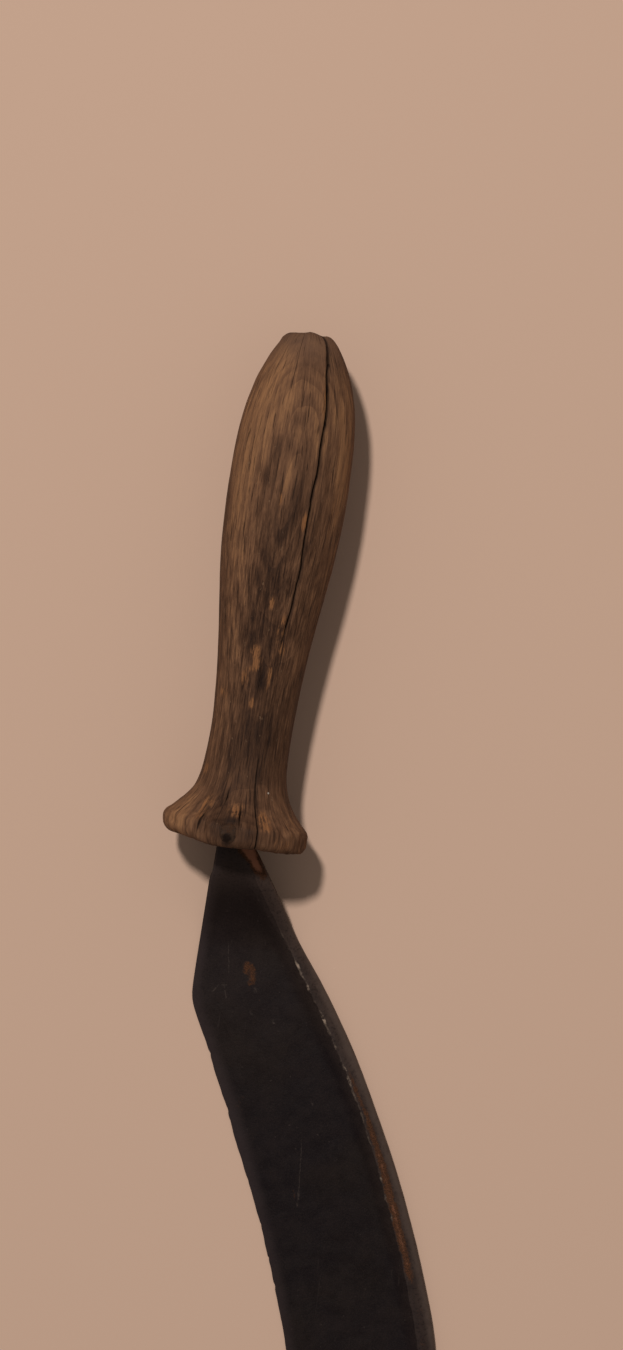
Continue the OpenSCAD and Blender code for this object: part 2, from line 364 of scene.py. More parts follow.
# A pale fleck on the right of the collar's flare
fleck_at, fleck_turn = 14.2, math.radians(35)
fleck_r = handle_radius(fleck_at) * mm
white_fleck = handle_middle + Vector((fleck_r * math.sin(fleck_turn), 0, fleck_r * math.cos(fleck_turn)))
white_fleck.y = wood_low.y + fleck_at * mm


def blots(spots, a, angle, r):
    amount = 0
    for middle, degrees, along, across, strength in spots:
        amount += strength * hump(a, middle, along) * hump(turn_from(degrees, angle) * r, 0, across)
    return amount


def worn_height(number, a, r, angle, x, z):
    """Height of a point on the outside over the turned shape. The butt is worn less, and has one dent."""
    height = hand_worn(a, x, z) + collar_knocks(a, turn_from(0, angle), x, z) + leaning_shape(a, angle)
    height -= gouged(a, angle, max(r, least_r))
    if number < butt_rings + len(corner_shares):
        height = 0.6 * height - 0.3 * hump(x, 3.1, 1.3)
    return height


def squared(a, r, angle, share):
    """Distance from the middle in the slot, where a share of the slot's square shape is reached."""
    corner = 1 / max(abs(math.sin(angle)) / slot_w * 2, abs(math.cos(angle)) / slot_t * 2)
    return lerp(r, corner * (r / slot_wall_r if a == 0 else 1), share)


def stain_and_gap_shade(a, r, x, y, z):
    """How black the wood is: stained round the tang and round the nail, and painted shade of the gap round
    the nail's head before and behind it in the grain.
    """
    stain_and_shade = 0.8 if a < 1 and r < 9 else 0
    if z > handle_middle.z:
        along, across = (y - nail_middle.y) / mm, (x - nail_middle.x) / mm
        stain_and_shade += 0.55 * hump(math.hypot(along, across), 0, 4.2)
        # Painted shade: the gap round the nail's beaten head, before and behind it in the grain
        stain_and_shade += 0.9 * hump(along, 3.0, 0.8) * hump(across, 0.4, 1.6)
        stain_and_shade += 0.9 * hump(along, -2.6, 0.7) * hump(across, -0.2, 1.2)
    return min(1, stain_and_shade)


outline = turned_outline()
tables = [ring_table(a, r) for a, r in outline]
bore_from = len(outline) - bore_steps - 2
skin_paths = [0]
for (a0, r0), (a1, r1) in zip(outline, outline[1:]):
    skin_paths.append(skin_paths[-1] + math.hypot(a1 - a0, r1 - r0))
wood = bmesh.new()
ring_number = wood.verts.layers.int.new("ring")
profile = []
for number, (a, r) in enumerate(outline):
    point = wood.verts.new((handle_middle.x, wood_low.y + a * mm, handle_middle.z + r * mm))
    point[ring_number] = number
    profile.append(point)
edges = [wood.edges.new(pair) for pair in zip(profile, profile[1:])]
bmesh.ops.spin(
    wood, geom=profile + edges, cent=handle_middle, axis=(0, 1, 0), angle=2 * math.pi, steps=len(columns),
    use_merge=True,
)
skin_layer = wood.verts.layers.float_vector.new("skin")
growth_layer, dirt_and_light_layer, raw_layer, crack_shade_layer, stain_and_shade_layer = (
    wood.verts.layers.float.new(name) for name in ("growth", "dirt_and_light", "raw", "crack", "stain_and_shade")
)
for point in wood.verts:
    number = point[ring_number]
    a, r = outline[number]
    before, after = outline[max(0, number - 1)], outline[min(len(outline) - 1, number + 1)]
    run = math.hypot(after[0] - before[0], after[1] - before[1])
    face_a, face_r = (after[1] - before[1]) / run, (before[0] - after[0]) / run
    from_top = math.atan2(point.co.x - handle_middle.x, point.co.z - handle_middle.z)
    column = round(from_top / (2 * math.pi) * len(columns)) % len(columns)
    angle, cut, near = tables[number][column]
    sideways, upwards = math.sin(angle), math.cos(angle)
    outside = a > bore_len or r > slot_mouth_r
    if outside and r > 0.1:
        height = worn_height(number, a, r, angle, r * sideways, r * upwards)
        height -= min(cut, 0.82 * max(0, r - 6)) if a < handle_len - 2 else cut * ease(r / 5) * 0.5
        a += height * face_a + face_skew(r * sideways) * (1 - ease(a / 7))
        r += height * face_r
    reach = r
    if not outside:
        share = min(1, (slot_mouth_r - r) / (slot_mouth_r - slot_lip_r)) if number < bore_from else 0
        reach = squared(a, r, angle, share)
    x, z = reach * sideways * mm + handle_middle.x, reach * upwards * mm + handle_middle.z
    y = wood_low.y + a * mm
    from_nail = math.hypot(x - nail_middle.x, y - nail_middle.y) / mm
    if from_nail < hollow_r and z > handle_middle.z + 10 * mm:
        z = min(z, nail_high.z - (0.42 + 0.35 * noise.noise(Vector((x, y, 0)) * 900)) * mm)
    point.co = (x, y, max(z, floor_gap * mm))
    point[skin_layer] = Vector((skin_r * sideways, skin_paths[number], skin_r * upwards)) * mm
    point[growth_layer] = growth_rings(r * sideways, a, r * upwards)
    point[dirt_and_light_layer] = blots(grip_dirt_and_painted_light, a, angle, max(r, least_r))
    point[raw_layer] = blots(raw_wood, a, angle, max(r, least_r))
    # Painted shade, with dirt, darkens the cracks. Inside the slot and the bore, and on the face round the
    # slot's mouth, the wood is painted fully dark as shade.
    point[crack_shade_layer] = near if outside else 1
    point[stain_and_shade_layer] = stain_and_gap_shade(a, r, x, y, z)
bmesh.ops.remove_doubles(wood, verts=wood.verts, dist=weld * mm)
bmesh.ops.recalc_face_normals(wood, faces=wood.faces)


def make_piece(name, shape, material, node):
    """Turns a finished bmesh into a smooth piece that stands for its CAD solid."""
    mesh = bpy.data.meshes.new(name)
    shape.to_mesh(mesh)
    shape.free()
    mesh.shade_smooth()
    mesh.materials.append(material)
    piece = bpy.data.objects.new(name, mesh)
    bpy.context.scene.collection.objects.link(piece)
    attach(piece, "root")
    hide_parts(node)


def add(tree, kind, inputs=None, **settings):
    """A shader node with its settings, and its inputs as values or as the sockets that feed them."""
    new = tree.nodes.new("ShaderNode" + kind)
    for name, value in settings.items():
        setattr(new, name, value)
    for name, value in (inputs or {}).items():
        if isinstance(value, bpy.types.NodeSocket):
            tree.links.new(value, new.inputs[name])
        else:
            new.inputs[name].default_value = value
    return new


def stretched(tree, scale, turn=(0, 0, 0), place=None):
    """A place, or else the Object coordinates, stretched and turned."""
    place = place or add(tree, "TexCoord").outputs["Object"]
    return add(tree, "Mapping", {"Vector": place, "Scale": scale, "Rotation": turn}).outputs["Vector"]


def cloudy(tree, vector, scale, detail=4, rough=0.6, bent=0):
    """A cloud of noise from 0 to 1."""
    values = {"Vector": vector, "Scale": scale, "Detail": detail, "Roughness": rough, "Distortion": bent}
    return add(tree, "TexNoise", values).outputs["Fac"]


def measured(tree, name):
    """A value that the mesh carries at its points."""
    return add(tree, "Attribute", attribute_name=name).outputs["Fac"]


def maths(tree, operation, *values):
    return add(tree, "Math", dict(enumerate(values)), operation=operation).outputs["Value"]


def times(tree, *values):
    """Values multiplied together."""
    product = values[0]
    for value in values[1:]:
        product = maths(tree, "MULTIPLY", product, value)
    return product


def between(tree, value, low, high, to_low=0, to_high=1):
    """Value, taken from the range low to high over to another range, and held there."""
    values = {"Value": value, "From Min": low, "From Max": high, "To Min": to_low, "To Max": to_high}
    return add(tree, "MapRange", values, interpolation_type="SMOOTHSTEP").outputs["Result"]


def blended(tree, share, first, second):
    """Two colours mixed by share."""
    mix = add(tree, "Mix", {"Factor": share}, data_type="RGBA")
    for number, colour in ((6, first), (7, second)):
        if isinstance(colour, bpy.types.NodeSocket):
            tree.links.new(colour, mix.inputs[number])
        else:
            mix.inputs[number].default_value = (*colour, 1)
    return mix.outputs[2]


def tones(tree, value, *stops):
    """A ramp of colours over a value."""
    ramp = add(tree, "ValToRGB", {"Fac": value})
    points = ramp.color_ramp.elements
    for number, (place, colour) in enumerate(stops):
        point = points[number] if number < 2 else points.new(place)
        point.position = place
        point.color = (*colour, 1)
    return ramp.outputs["Color"]


def new_material(name):
    material = bpy.data.materials.new(name)
    material.use_nodes = True
    return material, material.node_tree, material.node_tree.nodes["Principled BSDF"]


def dress(tree, surface, colour, rough, height, strength, depth, gloss):
    """Gives a material its colour, its roughness, its relief of a depth in mm, and its gloss."""
    bump = add(tree, "Bump", {"Height": height, "Strength": strength, "Distance": depth * mm})
    tree.links.new(colour, surface.inputs["Base Color"])
    tree.links.new(rough, surface.inputs["Roughness"])
    tree.links.new(bump.outputs["Normal"], surface.inputs["Normal"])
    surface.inputs["Specular IOR Level"].default_value = gloss


palm_grey = (0.105, 0.0640, 0.0470)
raw_dark, raw_light = (0.100, 0.0440, 0.0195), (0.245, 0.1040, 0.0400)
pore_brown, speck_tan, fleck_white = (0.014, 0.0062, 0.0038), (0.25, 0.150, 0.085), (0.42, 0.37, 0.31)
stain_and_shade_black, crack_shade_black = (0.009, 0.0052, 0.0042), (0.006, 0.0028, 0.0018)
blotch_share, streak_share, fibre_share, flake_share = 0.62, 0.34, 0.9, 0.62

weathered_wood, tree, surface = new_material("weathered_wood")
on_skin = add(tree, "Attribute", attribute_name="skin").outputs["Vector"]
from_butt = add(tree, "SeparateXYZ", {"Vector": on_skin}).outputs["Y"]


def along_wood(start, end, at_start=0, at_end=1):
    """A value that changes between two distances from the butt, in mm along the skin."""
    return between(tree, from_butt, start * mm, end * mm, at_start, at_end)


fibres = cloudy(tree, stretched(tree, (1, 0.07, 1), place=on_skin), 2300, 4, 0.75)
streaks = cloudy(tree, stretched(tree, (1, 0.08, 1), place=on_skin), 700, 5, 0.7)
pores = cloudy(tree, stretched(tree, (1, 0.045, 1), place=on_skin), 2400, 2, 0.6)
flakes = cloudy(tree, stretched(tree, (1, 0.2, 1)), 950, 5, 0.75, 0.1)
blotches = cloudy(tree, stretched(tree, (1, 0.45, 1)), 190, 6, 0.65, 0.3)
specks = cloudy(tree, stretched(tree, (1, 0.35, 1)), 1300, 3, 0.6)

# Tone: dark and greasy to pale and dry, by blotches, fibres, grip dirt with painted light, late wood, flaking
grain = times(tree, along_wood(4, 20, 0.2, 0.8), along_wood(45, 75, 1, 1.4), along_wood(112, 126, 1, 0.62))
late_line = between(tree, maths(tree, "FRACT", measured(tree, "growth")), 0.35, 0.92)
late_line = times(tree, late_line, between(tree, blotches, 0.35, 0.65, 0.3, grain))
figure = times(tree, along_wood(52, 70, 0.19, 0.1), along_wood(9, 21, 0.1, 1))
flaky = times(tree, along_wood(40, 62), along_wood(95, 112, 1, 0.4))
tone = maths(tree, "MULTIPLY_ADD", blotches, blotch_share, 0.5 - blotch_share / 2)
lines = maths(tree, "MULTIPLY_ADD", streaks, streak_share, -streak_share / 2)
lines = maths(tree, "MULTIPLY_ADD", fibres, fibre_share, maths(tree, "SUBTRACT", lines, fibre_share / 2))
tone = maths(tree, "MULTIPLY_ADD", lines, grain, tone)
# Grip dirt darkens the wood; the lighter blots on the flanks are painted light
tone = maths(tree, "SUBTRACT", tone, measured(tree, "dirt_and_light"))
tone = maths(tree, "ADD", tone, along_wood(45, 62, 0.13, 0.10))
tone = maths(tree, "SUBTRACT", tone, times(tree, late_line, figure))
lines = maths(tree, "MULTIPLY_ADD", flakes, flake_share, -flake_share / 2)
tone = maths(tree, "MULTIPLY_ADD", lines, flaky, tone)
colour = tones(
    tree, tone,
    (0.16, (0.0165, 0.0070, 0.0037)),
    (0.34, (0.041, 0.0180, 0.0090)),
    (0.50, (0.080, 0.0368, 0.0186)),
    (0.66, (0.135, 0.0645, 0.0335)),
    (0.88, (0.250, 0.1220, 0.0560)),
)

# Marks: the butt's grey wear, orange chips, pores, pale specks, iron stain with painted shade by the nail,
# cracks darkened by painted shade and dirt, and the fleck
colour = blended(tree, along_wood(19, 4, 0, 0.4), colour, palm_grey)
chipped = maths(tree, "MULTIPLY_ADD", flakes, 0.55, times(tree, fibres, 0.45))
chipped = times(tree, measured(tree, "raw"), between(tree, chipped, 0.44, 0.56, 0.2, 1.2))
raw_tone = blended(tree, between(tree, fibres, 0.36, 0.6), raw_dark, raw_light)
colour = blended(tree, between(tree, chipped, 0.1, 0.62, 0, 0.9), colour, raw_tone)
colour = blended(tree, between(tree, pores, 0.40, 0.33, 0, 0.65), colour, pore_brown)
colour = blended(tree, between(tree, specks, 0.68, 0.76, 0, 0.45), colour, speck_tan)
# Iron stain, with painted shade by the nail
colour = blended(tree, times(tree, measured(tree, "stain_and_shade"), 0.8), colour, stain_and_shade_black)
# Cracks: painted shade, with dirt
colour = blended(tree, times(tree, measured(tree, "crack"), 0.9), colour, crack_shade_black)
in_place = add(tree, "TexCoord").outputs["Object"]
from_fleck = add(tree, "VectorMath", {0: in_place, 1: white_fleck}, operation="DISTANCE").outputs["Value"]
colour = blended(tree, between(tree, from_fleck, 0.34 * mm, 0.2 * mm), colour, fleck_white)
relief = maths(tree, "MULTIPLY_ADD", fibres, 0.8, streaks)
relief = maths(tree, "MULTIPLY_ADD", flakes, times(tree, flaky, 0.7), relief)
relief = maths(tree, "ADD", relief, between(tree, pores, 0.30, 0.42, 0, 0.3))
dress(tree, surface, colour, between(tree, tone, 0.2, 0.8, 0.6, 0.88), relief, 0.8, 0.3, 0.12)
make_piece("turned_handle", wood, weathered_wood, "handle")


# Blade
# One forging: a square spike and a flat root that go into the handle, a neck cranked down to the flat of the
# blade, a raised rib hammered up along the back, and a thin plate honed to an edge on its inner side.

root_w, root_t = 9.8, 4.8
spike_w, spike_end_w, tang_len = 4.8, 3.2, 90
root_len = 12
chamfer = 0.5
set_back = math.radians(33.6)
stretches = [(42, 0), (85, 330), (60, 128), (160, 98), (74, 122)]
back_len = sum(length for length, radius in stretches)
heel_w, blade_w, tip_w = 32, 37.8, 1.4
widest_at, taper_power, tip_share = 138, 2.2, 0.45
neck_lean, heel_round = 0.75, 1.4
heel_at = (heel_w * math.cos(set_back) - root_w - neck_lean) / math.sin(set_back)
neck_step, step_at, step_len = 0.45, 6.4, 2.6
crank_len, crank_facet = 27, 1.5
rib_w, rib_t, back_t = 3.7, 3.9, 1.4
rib_widths = [(0, 3.7), (15, 3.9), (48, 3.6), (70, 3.7), (90, 4.2), (112, 4.5), (260, 4.3), (421, 3.7)]
cove_w, plate_t = 4.6, 2.1
bevel_w, bevel_t, edge_t = 1.3, 1.0, 0.36
honed_round = 0.4
sole_round = 0.6
blade_rows = 640
row_len = back_len / blade_rows
tang_rows = [90, 82, 72, 60, 48, 36, 26, 19, 15.5, 12, 9, 6, 4, 2.5, 1.5, 0.7]


def heading(s):
    angle = set_back
    for length, radius in stretches:
        if s <= 0:
            break
        if radius:
            angle -= min(s, length) / radius
        s -= length
    return angle


def edge_reach(s):
    if s < widest_at:
        return lerp(heel_w, blade_w, math.sin(math.pi / 2 * max(0, s - heel_at) / (widest_at - heel_at)))
    return lerp(blade_w, tip_w, ((s - widest_at) / (back_len - widest_at)) ** taper_power)


def blade_width(s, back_x):
    """Width of the blade, with the small step in the neck's side."""
    if s >= 2 * heel_at:
        return edge_reach(s)
    turn = heading(s) * min(1, s / heel_at)
    neck = (back_x + root_w / 2 + neck_lean * s / heel_at) / math.cos(turn)
    body = edge_reach(s)
    step = neck_step * (1 - ease((s - step_at) / step_len)) * ease((s + 0.5) / 1.5)
    return (neck + body - math.hypot(neck - body, heel_round)) / 2 - step


# Columns of the skin round the section, each with its part of the section and its place in that part
section_parts = {
    "outer": [i / 3 for i in range(3)],
    "strip": (0, 0.08, 0.17, 0.27, 0.38, 0.5, 0.62, 0.73, 0.82, 0.89, 0.945, 0.98),
    "cove": (0, 0.03, 0.07, 0.13, 0.2, 0.29, 0.39, 0.5, 0.62, 0.75, 0.88),
    "plate": [i / 46 for i in range(46)],
    "bevel": (0, 0.14, 0.3, 0.48, 0.66, 0.82, 0.93),
    "edge": (0, 0.5, 1),
    "sole": [i / 24 for i in range(25)],
}
blade_columns = [(part, t) for part, places in section_parts.items() for t in places]


def blade_point(part, t, w, rib):
    """Distance from the back and height over the sole of a blade section."""
    k = min(1, w / (2 * (rib_w + cove_w)))
    thick = lerp(tip_share, 1, k)
    crest, cove_end, bevel_at = rib * k, (rib_w + cove_w) * k, w - bevel_w * k
    if part == "outer":
        return 0, lerp(sole_round, back_t, t) * thick
    if part == "strip":
        turn = math.pi / 2 * t
        return crest * (1 - math.cos(turn)), lerp(back_t, rib_t, math.sin(turn)) * thick
    if part == "cove":
        return lerp(crest, cove_end, t), lerp(rib_t, plate_t, math.sin(math.pi / 2 * t)) * thick
    if part == "edge":
        return lerp(w, w - edge_t * k, max(0, 2 * t - 1)), lerp(edge_t, 0, t) * thick
    if part == "sole":
        return lerp(w - edge_t * k, sole_round * k, t), 0
    q = lerp(cove_end, bevel_at, t) if part == "plate" else lerp(bevel_at, w, t)
    plate = lerp(plate_t, bevel_t, 1 - math.cos(math.pi / 2 * min(1, (q - cove_end) / (bevel_at - cove_end))))
    bevel = lerp(edge_t, bevel_t, (w - q) / (bevel_w * k))
    return q, (plate + bevel - math.hypot(plate - bevel, honed_round)) / 2 * thick


def bar_point(part, t, w, thick):
    """The same for the bar that the neck and the tang are forged to."""
    crest = rib_w * w / root_w
    if part == "outer":
        return 0, lerp(chamfer, thick - chamfer, t)
    if part == "strip":
        if t < 0.5:
            return lerp(0, chamfer, 2 * t), lerp(thick - chamfer, thick, 2 * t)
        return lerp(chamfer, crest, 2 * t - 1), thick
    if part == "cove":
        return lerp(crest, w - chamfer, t / 2), thick
    if part == "plate":
        return lerp(crest, w - chamfer, 0.5 + t / 2), thick
    if part == "bevel":
        return lerp(w - chamfer, w, t), lerp(thick, thick - chamfer, t)
    if part == "edge":
        return lerp(w, w - chamfer, max(0, 2 * t - 1)), lerp(thick - chamfer, 0, ease(t))
    return lerp(w - chamfer, chamfer, t), 0


def lift(y):
    """Height of the sole: in line with the handle at the collar, and on the ground beyond the crank."""
    return (collar_r - root_t / 2) * (1 - ease(-y / crank_len))


# Nicks in the honed edge: distance along the back, half the width, depth
nicks_from, nicks_end = 44, 6
nick_dice = random.Random(5)
nicks = []
nick_at = nicks_from
while nick_at < back_len - nicks_end:
    half = nick_dice.uniform(0.5, 1.3)
    depth = nick_dice.uniform(0.06, 0.34) * nick_dice.random() ** 0.6
    nicks.append((nick_at, half, depth))
    nick_at += nick_dice.uniform(2.2, 11)


def edge_loss(s):
    """How far the honed edge is worn and nicked back at s. Beyond the heel the plate is a little fuller."""
    loss = 0.16 + 0.3 * uneven(s / 11, 4, 0) + 0.14 * uneven(s / 3.2, 1, 0)
    for middle, half, depth in nicks:
        if abs(s - middle) < half:
            loss += depth * (1 - abs(s - middle) / half)
    loss = max(0, loss) * ease((s - 30) / 16) * (1 - 0.6 * ease((s - back_len + 12) / 12))
    return loss - hump(s, 66, 26)


def hammered(s, q, rib, part, top):
    """Height that the hammer, rust and use left over the plain section."""
    if not top:
        return 0.16 * max(0, uneven(s / 16, q / 12, 9))
    height = 0.11 * uneven(s / 11, q / 8, 0) + 0.06 * uneven(s / 4.5, q / 3.6, 2)
    height += 0.03 * uneven(s / 1.7, q / 1.5, 5)
    if part in ("strip", "cove"):
        chipped = 0.5 * max(0, uneven(s / 3.1, 0, 4)) + max(0, uneven(s / 11, 0, 6))
        height = 0.6 * height - 0.2 * hump(q, rib, 0.5) * chipped
    return height


back_points = [(root_w / 2, 0.0)]
for row in range(blade_rows):
    angle = heading((row + 0.5) * row_len)
    x, y = back_points[-1]
    back_points.append((x + row_len * math.sin(angle), y - row_len * math.cos(angle)))

# Rust: distance along the back and from it, reach both ways, strength. The two at the neck are strong
# enough for the bright rust, which is partly painted light.
rust_spots = [
    (0.5, 2.0, 3.6, 2.6, 2.0), (6.0, 1.7, 2.8, 1.5, 1.7), (28.0, 15.2, 1.1, 1.1, 0.72),
    (29.5, 14.3, 1.3, 0.8, 0.66), (28.9, 16.4, 1.0, 0.6, 0.5), (31.0, 15.5, 1.3, 0.8, 0.72),
    (32.3, 16.8, 1.2, 0.7, 0.6), (33.7, 17.9, 0.8, 0.6, 0.5), (37.0, 16.3, 0.8, 0.6, 0.62),
    (29.5, 15.8, 2.6, 2.0, 0.2), (66, 2.8, 6, 0.7, 0.5), (76, 2.7, 8, 0.8, 0.8), (88, 2.8, 8, 1.0, 0.95),
    (99, 3.3, 8, 1.1, 0.95), (109, 3.2, 7, 1.1, 0.85), (115, 3.4, 5, 0.9, 0.7), (134, 3.0, 14, 1.2, 0.4),
    (88, 26.4, 4, 0.5, 0.5), (176, 20, 9, 5, 0.6), (214, 3, 12, 1.6, 0.7), (255, 14, 10, 6, 0.6),
    (300, 4, 14, 2, 0.8), (338, 18, 9, 5, 0.5), (372, 8, 10, 5, 0.7), (405, 5, 9, 4, 0.8),
    (60, 30, 5, 3, 0.35),
]

# Bare places on the rib's crest with painted highlights: distance along the back, reach, strength
glints = [
    (27, 3, 0.2), (32.8, 1.1, 0.95), (35.6, 1.6, 0.6), (39.2, 0.8, 0.85), (42.6, 0.7, 0.4), (47.8, 1.6, 1.2),
    (51.8, 1.8, 0.5), (55.6, 1.6, 0.45), (60.2, 0.8, 0.45), (62.6, 1.3, 1.1), (65.4, 1.2, 0.85),
    (69, 2.4, 0.45), (74.5, 2.4, 0.4), (80, 2.5, 0.3), (91, 0.9, 0.55), (96.5, 0.8, 0.7), (102, 0.7, 0.4),
    (150, 9, 0.4), (205, 6, 0.4), (262, 12, 0.5), (318, 8, 0.4), (366, 9, 0.5),
]


def rusty(s, q):
    """How rusty the face is, from 0 to 2."""
    rust = 0
    for at, over, along, across, much in rust_spots:
        rust += much * hump(s, at, along) * hump(q, over, across)
    return min(2, rust)


iron = bmesh.new()
rows = len(tang_rows) + blade_rows + 1
bmesh.ops.create_grid(iron, x_segments=len(blade_columns), y_segments=rows - 1, size=1)
along_layer, back_layer, crest_layer, glint_layer, edge_layer, top_layer, rust_layer = (
    iron.verts.layers.float.new(name)
    for name in ("along", "from_back", "from_crest", "glint", "from_edge", "top_side", "rust")
)
edge_losses = [edge_loss(row * row_len) for row in range(blade_rows + 1)]
for point in iron.verts:
    column = round((point.co.x + 1) / 2 * len(blade_columns)) % len(blade_columns)
    row = round((point.co.y + 1) / 2 * (rows - 1))
    part, t = blade_columns[column]
    top = part in ("outer", "strip", "cove", "plate", "bevel")
    if row < len(tang_rows):
        y = tang_rows[row]
        if y > slot_len:
            w = thick = lerp(spike_w, spike_end_w, (y - slot_len) / (tang_len - slot_len))
        else:
            w = lerp(root_w, spike_w, max(0, y - root_len) / (slot_len - root_len))
            thick = lerp(root_t, spike_w, max(0, y - root_len) / (slot_len - root_len))
        rib = rib_w
        q, height = bar_point(part, t, w, thick)
        x, z = w / 2 - q, height + (root_t - thick) / 2 + lift(y)
        s = -y
    else:
        s = (row - len(tang_rows)) * row_len
        back_x, back_y = back_points[row - len(tang_rows)]
        w = blade_width(s, back_x)
        rib = way(rib_widths, s)
        plain = bar_point(part, t, w, root_t)
        drawn = blade_point(part, t, w, rib)
        formed = ease(s / heel_at)
        q, height = lerp(plain[0], drawn[0], formed), lerp(plain[1], drawn[1], formed)
        if part in ("outer", "strip"):
            facet = 1 - t**0.8 if part == "strip" else t
            height -= crank_facet * facet * ease((s + 1) / 4) * (1 - ease(s / heel_at))
        loss = edge_losses[row - len(tang_rows)]
        q -= loss * hump(w - q, 0, 1.6)
        sway = 0.14 * uneven(s / 17, 8, 0) + 0.05 * uneven(s / 4, 6, 0)
        sway += 0.95 * hump(s, 27, 11)
        q += sway * hump(q, 0, 3) * ease(s / 10)
        thin = min(1, height / 1.2) if top else 1
        height = max(0, height + hammered(s, q, rib, part, top) * ease(s / 4 + 0.2) * thin)
        turn = heading(s) * min(1, s / heel_at)
        jog = 0.32 * uneven(s / 5.5, 2, 0) + 0.12 * uneven(s / 1.9, 2, 5)
        reach = q + jog * hump(q, rib, 1.8) * ease(s / 12)
        x, y = back_x - reach * math.cos(turn), back_y - reach * math.sin(turn)
        z = height + lift(y)
    point.co = (handle_middle.x + x * mm, wood_low.y + y * mm, z * mm)
    point[along_layer] = s
    point[back_layer] = q
    point[crest_layer] = q - rib * min(1, w / (2 * (rib_w + cove_w)))
    point[glint_layer] = min(1.3, sum(much * hump(s, at, along) for at, along, much in glints))
    point[edge_layer] = w - q
    point[top_layer] = 1 if top else 0
    point[rust_layer] = rusty(s, q) if top else 0.35
bmesh.ops.remove_doubles(iron, verts=iron.verts, dist=weld * mm)
bmesh.ops.holes_fill(iron, edges=[edge for edge in iron.edges if edge.is_boundary])
bmesh.ops.recalc_face_normals(iron, faces=iron.faces)


def new_group(name, inputs, outputs):
    """An empty shader node group with named inputs and outputs."""
    group = bpy.data.node_groups.new(name, "ShaderNodeTree")
    for title, kind, value in inputs:
        socket = group.interface.new_socket(title, in_out="INPUT", socket_type="NodeSocket" + kind)
        socket.default_value = value
    for title, kind in outputs:
        group.interface.new_socket(title, in_out="OUTPUT", socket_type="NodeSocket" + kind)
    return group, group.nodes.new("NodeGroupInput").outputs, group.nodes.new("NodeGroupOutput").inputs


# Forge scale: the black skin that the fire leaves, mottled, pitted, and turning to rust where it is broken
forge_scale, given, result = new_group(
    "forge_scale",
    [
        ("Scale Colour", "Color", (0.012, 0.009, 0.008, 1)),
        ("Bare Colour", "Color", (0.05, 0.04, 0.035, 1)),
        ("Rust Colour", "Color", (0.10, 0.045, 0.022, 1)),
        ("Wear And Light", "Float", 0),
        ("Rust", "Float", 0),
        ("Coarseness", "Float", 1),
    ],
    [("Colour", "Color"), ("Roughness", "Float"), ("Height", "Float")],
)
old_rust, fresh_rust_and_light = (0.030, 0.0135, 0.0080), (0.230, 0.0920, 0.0500)

tree = forge_scale
in_place = add(tree, "TexCoord").outputs["Object"]
scaled = add(tree, "VectorMath", {0: in_place, "Scale": given["Coarseness"]}, operation="SCALE")
scaled = scaled.outputs["Vector"]
mottle = cloudy(tree, scaled, 240, 6, 0.62)
pits = cloudy(tree, scaled, 1500, 3, 0.6)
speckle = cloudy(tree, scaled, 4200, 2, 0.5)
bare = times(tree, between(tree, mottle, 0.36, 0.66), 0.065)
bare = maths(tree, "MULTIPLY_ADD", between(tree, speckle, 0.42, 0.66), 0.12, bare)
skin_colour = blended(tree, bare, given["Scale Colour"], given["Bare Colour"])
# Worn skin, and the painted light that the blade lays on, turn the skin to the bare colour
wear_and_light = times(tree, given["Wear And Light"], between(tree, pits, 0.30, 0.52, 0.45, 1))
skin_colour = blended(tree, wear_and_light, skin_colour, given["Bare Colour"])
rust_cloud = maths(tree, "MULTIPLY_ADD", pits, 0.4, times(tree, mottle, 0.6))
rust_mask = between(tree, maths(tree, "MULTIPLY_ADD", given["Rust"], 0.42, rust_cloud), 0.64, 0.86)
rust_tone = blended(tree, between(tree, speckle, 0.35, 0.65), given["Rust Colour"], old_rust)
# The thickest rust, at the neck, is painted bright: fresh rust, with painted light lifting the collar's
# shadow
fresh_and_lit_share = maths(tree, "MULTIPLY_ADD", rust_cloud, 2.4, maths(tree, "SUBTRACT", given["Rust"], 1.2))
rust_tone = blended(tree, between(tree, fresh_and_lit_share, 1.0, 1.7), rust_tone, fresh_rust_and_light)
tree.links.new(blended(tree, rust_mask, skin_colour, rust_tone), result["Colour"])
rough = maths(tree, "SUBTRACT", between(tree, mottle, 0.3, 0.7, 0.44, 0.62), times(tree, wear_and_light, 0.12))
tree.links.new(maths(tree, "ADD", rough, times(tree, rust_mask, 0.3)), result["Roughness"])
relief = maths(tree, "ADD", times(tree, mottle, 0.8), times(tree, pits, 0.5))
relief = maths(tree, "ADD", relief, times(tree, speckle, 0.16))
tree.links.new(maths(tree, "ADD", relief, times(tree, rust_mask, 0.25)), result["Height"])


# Colours of the blade: the fire's skin in two tones, its bare and rusty places, the crest's dull places and
# painted highlights, the honed bevel and the worn back with their painted sheen, and scratches
fire_brown, fire_blue = (0.0073, 0.0044, 0.0040), (0.0061, 0.0038, 0.0044)
bare_brown, rust_brown = (0.055, 0.0355, 0.0285, 1), (0.078, 0.0310, 0.0140, 1)
crest_dull, crest_highlight = (0.064, 0.044, 0.034), (0.34, 0.250, 0.185)
bevel_sheen_grey, back_sheen_brown = (0.036, 0.0250, 0.0255), (0.084, 0.0580, 0.0465)
scratch_brown, score_brown = (0.048, 0.0340, 0.0290), (0.075, 0.0550, 0.0440)

black_iron, tree, surface = new_material("black_iron")
along, from_back, from_crest, glint, from_edge, top_side = (
    measured(tree, name) for name in ("along", "from_back", "from_crest", "glint", "from_edge", "top_side")
)
in_place = stretched(tree, (1, 1, 1))
